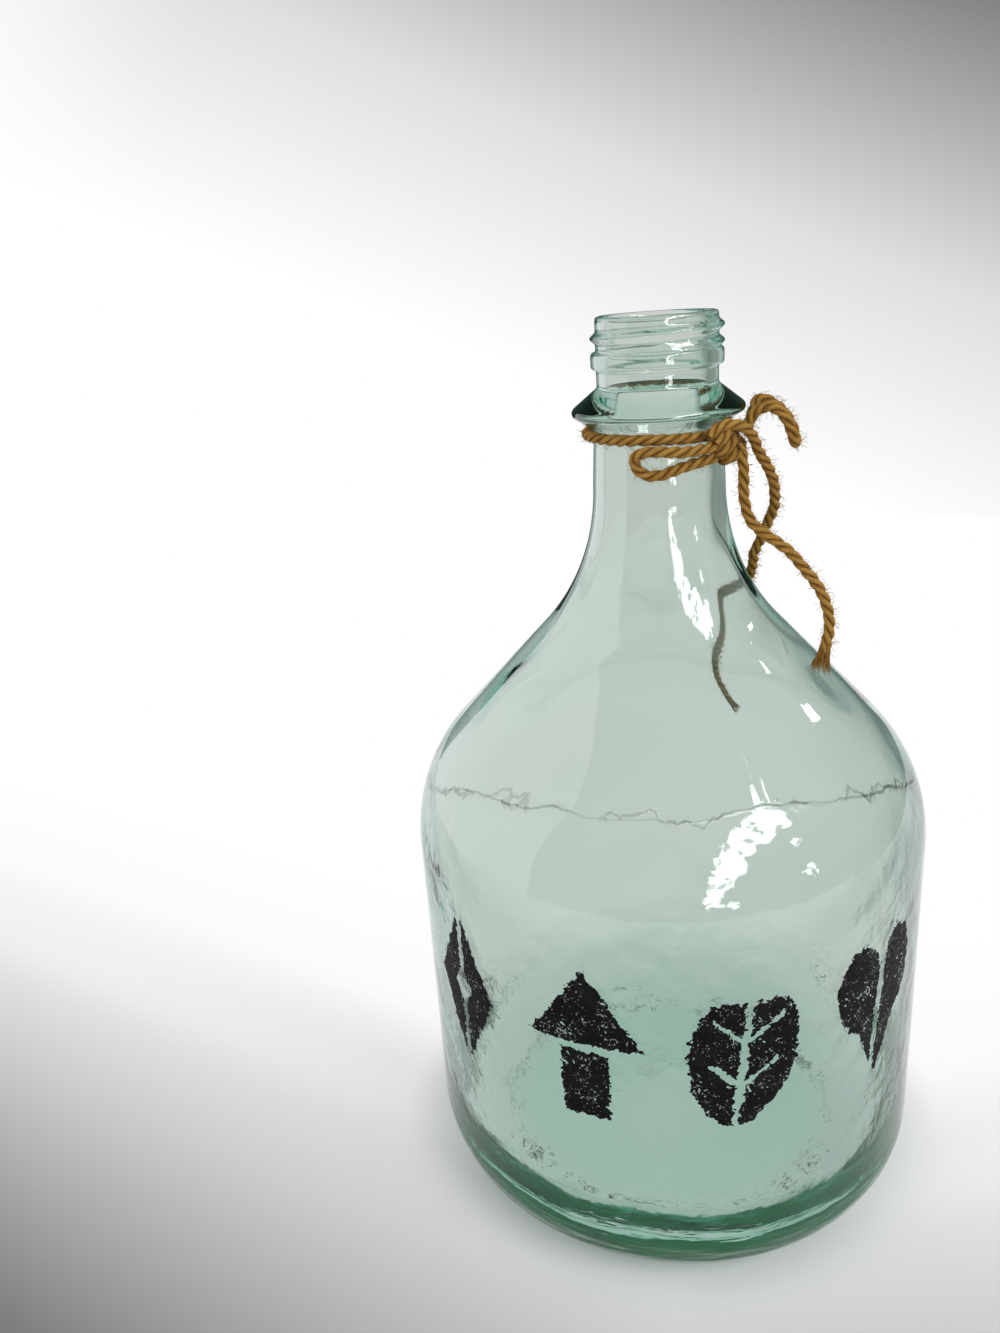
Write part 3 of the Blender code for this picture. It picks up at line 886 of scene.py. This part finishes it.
class COINBANK_OT_glass_jug(bpy.types.Operator):
    """Turns the jug's glass, with its thread and the waves of blown glass"""

    bl_idname = "coinbank.glass_jug"
    bl_label = "Glass Jug"

    def execute(self, context):
        settings = context.scene.coinbank_glass
        line, inner = rounded_profile()
        along = np.gradient(line, axis=0)
        normal = np.column_stack([along[:, 1], -along[:, 0]])
        normal = (normal / np.linalg.norm(normal, axis=1)[:, None])[1:-1]
        run = run_along(line)[1:-1, None]
        r, z, inner = line[1:-1, :1], line[1:-1, 1:], inner[1:-1, None]
        outer = 1 - inner
        sides, count = settings.segments, len(r)
        around = np.linspace(0, math.tau, sides, endpoint=False)[None, :]
        calm = past(z, calm_height, -0.02) * np.clip(r / 0.02, 0, 1) ** 2
        sink = -outer_sink(around, z, settings.outer_wave) * calm * outer
        blown = waves(around, run, 7, 22, (1, 11), (0.03, 0.11)) * settings.inner_wave
        below = past(z, settle_line_height, -0.02)
        blown = blown + waves(around, run, 9, 40, (14, 34), (0.009, 0.02)) * ripple_depth * below
        # The floor's edge is creased where the hot glass folded on itself
        fold = np.exp(-(((z - fold_height) / 0.007) ** 2)) * past(r, 0.04, 0.012)
        phase = 2.5 * waves(around, run, 15, 10, (1, 8), (0.03, 0.08))
        blown = blown + fold * fold_depth * np.sin(math.tau * run / fold_spacing + phase)
        shift = sink + blown * calm * inner
        # The thread stands on the finish alone
        on_finish = outer * (r > finish_radius - 0.0006) * (z > finish_bottom - 0.0025)
        out = r + normal[:, :1] * shift + thread_rise(around, z + 0 * around) * on_finish
        up = np.maximum(z + normal[:, 1:] * shift, 0)
        points = np.stack([out * np.cos(around), out * np.sin(around), up], axis=-1).reshape(-1, 3)
        low, high = len(points), len(points) + 1
        points = np.vstack([points, [[0, 0, line[0, 1]], [0, 0, line[-1, 1]]]])
        i = np.arange(count - 1)[:, None] * sides
        j = np.arange(sides)[None, :]
        k = (j + 1) % sides
        quads = np.stack([i + j, i + k, i + k + sides, i + j + sides], axis=-1).reshape(-1, 4).tolist()
        last = (count - 1) * sides
        fans = [(low, b, a) for a, b in zip(j[0].tolist(), k[0].tolist())]
        fans += [(high, last + a, last + b) for _, b, a in fans]
        mesh = mesh_of("glass_jug_blown", points.tolist(), quads + fans)
        # The floor is thick, and the outside of the heel and of the collar's upper slope covers a
        # bulk of glass
        heel_skin = past(z, 0.026, -0.010) * past(r, 0.046, 0.010)
        on_slope = (z > collar_rim_height - 0.0005) * (z < finish_bottom + 0.0005)
        collar_skin = past(r, finish_radius, 0.003) * on_slope
        thick = thick_share * past(z, 0.015, -0.004) * past(r, 0.058, -0.010)
        for name, rows, at_middle in (
            ("thick", thick, thick_share),
            ("bulk", (heel_skin + collar_skin) * outer, 0),
            ("outer", outer, 0),
        ):
            values = np.append(np.repeat(rows, sides), (at_middle, at_middle)).astype(np.float32)
            mesh.attributes.new(name, "FLOAT", "POINT").data.foreach_set("value", values)
        shape = bmesh.new()
        shape.from_mesh(mesh)
        bmesh.ops.recalc_face_normals(shape, faces=shape.faces)
        shape.to_mesh(mesh)
        shape.free()
        mesh.shade_smooth()
        put("glass_jug_blown", mesh, recycled_glass(settings), "jug", "moulded_glass", "glass_jug")
        return {"FINISHED"}


# ---- The stencilled figures

# Each figure gives how far a point lies outside its outline, in millimetres from its middle


def figure_diamond(x, y):
    """A tall diamond with a diamond hole, parted by an upright bridge."""
    slope = 14 * 27 / math.hypot(14, 27)
    even = np.abs(x) / 14 + np.abs(y) / 27
    outline = np.maximum((even - 1) * slope, np.abs(y) - half_tall)
    hole = (even - 0.30) * slope
    return np.maximum(np.maximum(outline, -hole), half_bridge - np.abs(x))


def figure_arrow(x, y):
    """A broad arrow that points up, its head parted from its shaft."""
    slope = 24 / math.hypot(24, 16.5)
    head = np.maximum((np.abs(x) - (24.5 - y) * 16.5 / 24) * slope, 0.2 - y)
    shaft = np.maximum(np.abs(x) - 7, np.maximum(y + 2.2, -half_tall - y))
    return np.minimum(head, shaft)


def figure_leaf(x, y):
    """A broad pointed leaf with its midrib and two side ribs left clear."""
    lean = x - y * 0.10
    half = 15.5
    big = (26**2 + half**2) / (2 * half)
    side = np.maximum(np.hypot(np.abs(lean) + big - half, y) - big, np.abs(y) - half_tall)
    rib = np.maximum(1.15 - np.abs(lean), y - 16)
    twigs = np.maximum(0.9 - np.abs(np.abs(y + 4 - 0.8 * np.abs(lean)) - 7), half_bridge - np.abs(lean))
    return np.maximum(np.maximum(side, rib), np.where(np.abs(lean) < 10, twigs, -9))


def figure_heart(x, y):
    """A tall heart in two halves."""
    u, v = np.abs(x) / 17, (y + 1.5) / 25
    lobe = np.hypot(u - 0.49, (v - 0.38) * 0.96) - 0.52
    tip = np.maximum(u * 0.80 - (v + 0.90) * 0.60, v - 0.38)
    return np.maximum(np.minimum(lobe, tip) * 17, half_bridge - np.abs(x - y * 0.12))


def grain(shape, cell, length, seed, stretch=1.0):
    """Smooth random numbers about 0, with features of a length, from white noise."""
    white = np.random.default_rng(seed).normal(size=shape)
    rows = np.fft.fftfreq(shape[0])[:, None] / cell
    columns = np.fft.fftfreq(shape[1])[None, :] / cell
    a, b = (rows + columns) / math.sqrt(2), (rows - columns) / math.sqrt(2)
    keep = np.exp(-((length * 1.5) ** 2) * (a**2 + (b * stretch) ** 2))
    smooth = np.fft.ifft2(np.fft.fft2(white) * keep).real
    return smooth / smooth.std()


def dabbed_cells(figure, width, height, cell, seed):
    """The paint's outline on a grid, as points and many-sided faces, in millimetres."""
    x = np.arange(-width / 2 - 2, width / 2 + 2, cell)
    y = np.arange(-height / 2 - 2, height / 2 + 2, cell)
    grid = figure(x[None, :], y[:, None]) + np.zeros((len(y), len(x)))
    grid = grid + 0.26 * grain(grid.shape, cell, 1.8, seed) + 0.30 * grain(grid.shape, cell, 0.6, seed + 1)
    # The sponge leaves pinholes, more of them where it was pressed lightly
    pores = grain(grid.shape, cell, 0.42, seed + 2, 2.4)
    light = grain(grid.shape, cell, 7.0, seed + 3)
    grid = np.maximum(grid, pores - 2.05 + 0.55 * np.clip(light, -1, 1.4))
    inside = grid < 0
    points, faces, known = [], [], {}

    def number_of(key, place):
        if key not in known:
            known[key] = len(points)
            points.append(place)
        return known[key]

    def crossing(p, q):
        share = grid[p] / (grid[p] - grid[q])
        return x[p[1]] + (x[q[1]] - x[p[1]]) * share, y[p[0]] + (y[q[0]] - y[p[0]]) * share

    some = inside[:-1, :-1] | inside[1:, :-1] | inside[:-1, 1:] | inside[1:, 1:]
    for row, column in np.argwhere(some).tolist():
        ring = [(row, column), (row, column + 1), (row + 1, column + 1), (row + 1, column)]
        face = []
        for p, q in zip(ring, ring[1:] + ring[:1]):
            if inside[p]:
                face.append(number_of(p, (x[p[1]], y[p[0]])))
            if inside[p] != inside[q]:
                face.append(number_of((min(p, q), max(p, q)), crossing(p, q)))
        faces.append(face)
    return points, faces


class COINBANK_OT_painted_figures(bpy.types.Operator):
    """Dabs four plain figures through a stencil on the front of the jug"""

    bl_idname = "coinbank.painted_figures"
    bl_label = "Stencilled Figures"

    def execute(self, context):
        settings = context.scene.coinbank_marks
        sink = context.scene.coinbank_glass.outer_wave
        # Each has its place, in degrees from the front, and its width in millimetres
        figures = (
            (figure_diamond, -49, 25),
            (figure_arrow, -16.5, 32),
            (figure_leaf, 14.8, 30),
            (figure_heart, 47.5, 34),
        )
        proud, embedded = 0.00003, 0.00004
        points, faces = [], []
        middle = settings.bottom + settings.height / 2
        for number, (figure, from_front, width) in enumerate(figures):
            seed = 31 + 7 * number
            flat, cells = dabbed_cells(figure, width, settings.height * 1000, settings.cell * 1000, seed)
            flat = np.array(flat) / 1000
            around = math.radians(from_front - 90) + flat[:, 0] / jug_radius
            height = middle + flat[:, 1]
            glass = jug_radius - outer_sink(around, height, sink)
            start, count = len(points), len(flat)
            for off in (proud, -embedded):
                out = glass + off
                points += np.column_stack([out * np.cos(around), out * np.sin(around), height]).tolist()
            sides = dict.fromkeys(pair for face in cells for pair in zip(face, face[1:] + face[:1]))
            faces += [[start + v for v in face] for face in cells]
            faces += [[start + count + v for v in face[::-1]] for face in cells]
            rims = [(start + a, start + b) for a, b in sides if (b, a) not in sides]
            faces += [[b, a, a + count, b + count] for a, b in rims]
        mesh = mesh_of("stencilled_figures", points, faces)
        put("stencilled_figures", mesh, stencil_paint(settings), "jug", "moulded_glass")
        return {"FINISHED"}


# ---- The stage

# The camera looks down a little from just above the mouth, as the photograph does
camera_place = (0, -0.3132, 0.28875)
camera_pitch, camera_yaw, camera_roll = 0.3503, -0.1612, -0.0715
sensor = 36
lens_length = sensor * 1060 / 1333

# Outlines of what the glass mirrors, as degrees from the front towards the right and degrees up
window = (
    (14, 0), (16, 9), (19, 16), (21, 25), (25, 33), (33, 40), (44, 45), (56, 49), (66, 47), (66, 39),
    (65, 32), (57, 33), (50, 29), (44, 30), (37, 25), (33, 17), (27, 12), (20, 3),
)  # fmt: skip
window_flecks = (
    ((58, 4), (62, 4), (62, 9), (58, 9)),
    ((59, 21), (63, 22), (61, 26)),
    ((15, -1), (29, -3), (28, -2), (15, 0)),
)
lamp_glints = ((103, 36), (106, 34), (106, 37)), ((108, 28), (114, 24), (114, 25.5), (109, 29))
wall = ((-56, -30), (-56, 52), (-70, 53), (-93, 43), (-120, 30), (-140, 18), (-140, -30))


def torn(outline, rng):
    """An outline whose edges are broken up by a degree or so, as a bright opening's often are."""
    corners = np.array(outline, float)
    edge = []
    for start, end in zip(corners, np.roll(corners, -1, axis=0)):
        steps = max(1, int(np.hypot(*(end - start)) / 1.2))
        edge += [start + (end - start) * k / steps + rng.normal(0, 1.2, 2) for k in range(steps)]
    return edge


def card(name, outlines, strength, ragged=False, distance=1.6, middle=0.16):
    """Bright cards that only mirror in the glass."""
    points, faces = [], []
    rng = np.random.default_rng(11)
    for outline in outlines:
        if ragged:
            outline = torn(outline, rng)
        faces.append(range(len(points), len(points) + len(outline)))
        for from_front, elevation in outline:
            a, e = math.radians(from_front), math.radians(elevation)
            toward = Vector((math.sin(a) * math.cos(e), -math.cos(a) * math.cos(e), math.sin(e)))
            points.append(toward * distance + Vector((0, 0, middle)))
    mesh = mesh_of(name, points, faces)
    obj = in_scene(name, mesh)
    look, node, _ = new_material(name)
    look.node_tree.nodes.clear()
    if ragged:
        # Something before the window breaks it up into patches
        place = node("TexCoord").outputs["Object"]
        patches = node("TexNoise", place, 1 / 0.16, 6, 0.7)
        strength = node("MapRange", patches, 0.42, 0.46, 0.03 * strength, strength)
    glow = node("Emission", (1, 1, 1), strength)
    node("OutputMaterial", glow)
    mesh.materials.append(look)
    for ray in ("camera", "diffuse", "transmission", "shadow", "volume_scatter"):
        setattr(obj, "visible_" + ray, False)


def backdrop_paper(settings):
    """Seamless matt paper. Its colour is painted darker towards the front, painted shade, and behind the jug
    it goes over into the plain white backdrop. Through the glass it shows as a glow of plain pale paper,
    painted dimmer on the right."""
    made, node, shader = new_material("backdrop_paper")
    place = node("TexCoord").outputs["Object"]
    x, y, _ = node("SeparateXYZ", place).outputs
    # The paper's grey band before and beside the jug is painted shade, not the paper's own colour
    wide = node("Math ABSOLUTE", x)
    fall = node("Math MULTIPLY_ADD", wide, -0.30, y)
    fall = node("Math MULTIPLY_ADD", x, 0.12, fall)
    level = node("ValToRGB", node("MapRange", fall, -0.665, 0.085))
    greys = ((0, 1), (0.30, 0.90), (0.60, 0.24), (0.636, 0.188), (0.68, 0.33), (0.75, 0.56))
    stops(level, greys + ((0.80, 0.71), (0.835, 0.86), (0.90, 0.96), (1, 1)))
    paper = node("Math MINIMUM", level, 0.80)
    paper = node("Math DIVIDE", paper, 0.92)
    connect(shader, {"Base Color": paper, "Roughness": 0.9, "Specular IOR Level": 0.1})
    # It glows with its own grey, half or more, so that the jug's shadow on it stays faint
    bright = node("MapRange", level, 0.80, 0.95)
    bright = node("Math MAXIMUM", bright, 0.55)
    off = node("VectorMath LENGTH", place)
    off = node("MapRange", off, 0.079, 0.100, **smoothly)
    lit = node("Math MULTIPLY", bright, off)
    white = node("Emission", level, 1)
    seen = node("MixShader", lit, shader, white)
    through = node("LightPath").outputs["Is Transmission Ray"]
    most = node("Math MULTIPLY", through, 0.85)
    aside = node("Math MULTIPLY_ADD", y, -0.45, x)
    shade = node("MapRange", aside, 0.05, 0.13, 1, 0.38)
    pale = node("Emission", settings.seen_through, shade)
    mixed = node("MixShader", most, seen, pale)
    connect(made.node_tree.nodes["Material Output"], {"Surface": mixed})
    return made


def studio(settings):
    """The world: white behind the jug, even light from all round, and a dim room in the glass."""
    world = bpy.data.worlds.new("studio")
    world.use_nodes = True
    world.node_tree.nodes.clear()
    node = functools.partial(add, world.node_tree)
    ray = node("LightPath").outputs
    through = ray["Is Transmission Ray"]
    way = node("TexCoord").outputs["Generated"]
    x, y, z = node("SeparateXYZ", way).outputs
    # Behind the jug the backdrop is white, and painted greyer towards its top right: painted shade
    height = node("Math MULTIPLY_ADD", x, 0.45, z)
    grey = node("ValToRGB", node("MapRange", height, -0.13, 0.28))
    stops(grey, ((0, 1), (0.22, 0.89), (0.5, 0.74), (0.78, 0.45), (1, 0.235)))
    ahead = node("MapRange", y, 0.80, 0.92, **smoothly)
    seen = node("Mix", ahead, (1, 1, 1), grey, data_type="RGBA")
    # Through the glass the backdrop shows as pale grey, dimmer only on the right, and the glass
    # mirrors the dim room beside and before it
    behind = node("MapRange", y, 0.15, 0.70, **smoothly)
    above = node("MapRange", z, 0.35, 0.65, **smoothly)
    aside = node("MapRange", x, 0.22, 0.50, 1, 0.40, **smoothly)
    left = node("MapRange", x, 0.30, 0, **smoothly)
    for operation, other in (
        ("MULTIPLY", aside),
        ("MAXIMUM", above),
        ("MAXIMUM", left),
        ("MULTIPLY", through),
    ):
        behind = node("Math " + operation, behind, other)
    room = node("Mix", behind, settings.dim_room, settings.seen_through, data_type="RGBA")
    by_glass = node("Math MAXIMUM", ray["Is Glossy Ray"], through)
    even = (settings.room,) * 3
    level = node("Mix", ray["Is Camera Ray"], even, seen, data_type="RGBA")
    level = node("Mix", by_glass, level, room, data_type="RGBA")
    node("OutputWorld", node("Background", level, 1))
    return world


class COINBANK_OT_stage(bpy.types.Operator):
    """Sets the floor, the backdrop, the lamps and the camera"""

    bl_idname = "coinbank.stage"
    bl_label = "Stage"

    def execute(self, context):
        settings = context.scene.coinbank_stage
        scene = context.scene
        scene.view_settings.view_transform = "Standard"
        scene.world = studio(settings)

        pitch, yaw, roll = camera_pitch, camera_yaw, camera_roll
        forward = Vector((math.sin(yaw) * math.cos(pitch), math.cos(yaw) * math.cos(pitch), -math.sin(pitch)))
        right = Vector((math.cos(yaw), -math.sin(yaw), 0))
        up = right.cross(forward)
        right, up = right * math.cos(roll) + up * math.sin(roll), up * math.cos(roll) - right * math.sin(roll)
        lens = bpy.data.cameras.new("view")
        lens.sensor_width = sensor
        lens.lens = lens_length
        lens.clip_start = 0.01
        turn = Matrix((right, up, -forward)).transposed().to_4x4()
        scene.camera = in_scene("view", lens)
        scene.camera.matrix_world = Matrix.Translation(camera_place) @ turn

        mesh = bpy.data.meshes.new("floor")
        shape = bmesh.new()
        bmesh.ops.create_circle(shape, cap_ends=True, segments=96, radius=settings.floor_radius)
        bmesh.ops.translate(shape, verts=shape.verts, vec=(0, 0, -0.0001))
        shape.to_mesh(mesh)
        shape.free()
        mesh.materials.append(backdrop_paper(settings))
        in_scene("floor", mesh)

        for name, spot, size, power in (
            ("key", (0.85, -0.75, 0.85), 0.9, settings.key_power),
            ("fill", (-0.9, -0.5, 0.6), 1.0, settings.key_power * 0.35),
        ):
            lamp = bpy.data.lights.new(name, "AREA")
            lamp.shape = "DISK"
            lamp.size = size
            lamp.energy = power
            spot = Vector(spot)
            facing = (spot - Vector((0, 0, 0.12))).to_track_quat("Z", "Y").to_matrix().to_4x4()
            obj = in_scene(name, lamp)
            obj.matrix_world = Matrix.Translation(spot) @ facing
            for ray in ("glossy", "transmission", "camera"):
                setattr(obj, "visible_" + ray, False)

        card("window_card", (window, *window_flecks), settings.card, True)
        card("lamp_card", lamp_glints, settings.card)
        card("pale_wall_card", (wall,), settings.pale_wall)
        # Light goes round many times inside thick glass
        scene.cycles.max_bounces = 24
        scene.cycles.glossy_bounces = 16
        scene.cycles.transmission_bounces = 24
        return {"FINISHED"}


class COINBANK_PT_panel(bpy.types.Panel):
    """Lists the pieces of the coin bank and their settings"""

    bl_idname = "COINBANK_PT_panel"
    bl_label = "Glass Coin Bank"
    bl_space_type = "VIEW_3D"
    bl_region_type = "UI"
    bl_category = "Coin Bank"

    def draw(self, context):
        scene = context.scene
        for operator, settings in (
            (COINBANK_OT_stage, scene.coinbank_stage),
            (COINBANK_OT_free_twine, scene.coinbank_twine),
            (COINBANK_OT_wrap_and_knot, None),
            (COINBANK_OT_glass_jug, scene.coinbank_glass),
            (COINBANK_OT_painted_figures, scene.coinbank_marks),
        ):
            box = self.layout.box()
            box.operator(operator.bl_idname)
            if settings is not None:
                for key in settings.__annotations__:
                    box.prop(settings, key)


settings_groups = {
    "coinbank_glass": GlassSettings,
    "coinbank_marks": MarkSettings,
    "coinbank_twine": TwineSettings,
    "coinbank_stage": StageSettings,
}
classes = (
    *settings_groups.values(),
    COINBANK_OT_stage,
    COINBANK_OT_free_twine,
    COINBANK_OT_wrap_and_knot,
    COINBANK_OT_glass_jug,
    COINBANK_OT_painted_figures,
    COINBANK_PT_panel,
)


def register():
    for kind in classes:
        bpy.utils.register_class(kind)
    for name, group in settings_groups.items():
        setattr(bpy.types.Scene, name, bpy.props.PointerProperty(type=group))


def unregister():
    for name in settings_groups:
        delattr(bpy.types.Scene, name)
    for kind in reversed(classes):
        bpy.utils.unregister_class(kind)


def main():
    register()
    bpy.ops.coinbank.stage()
    bpy.ops.coinbank.free_twine()
    bpy.ops.coinbank.wrap_and_knot()
    bpy.ops.coinbank.glass_jug()
    bpy.ops.coinbank.painted_figures()


if __name__ == "__main__":
    main()
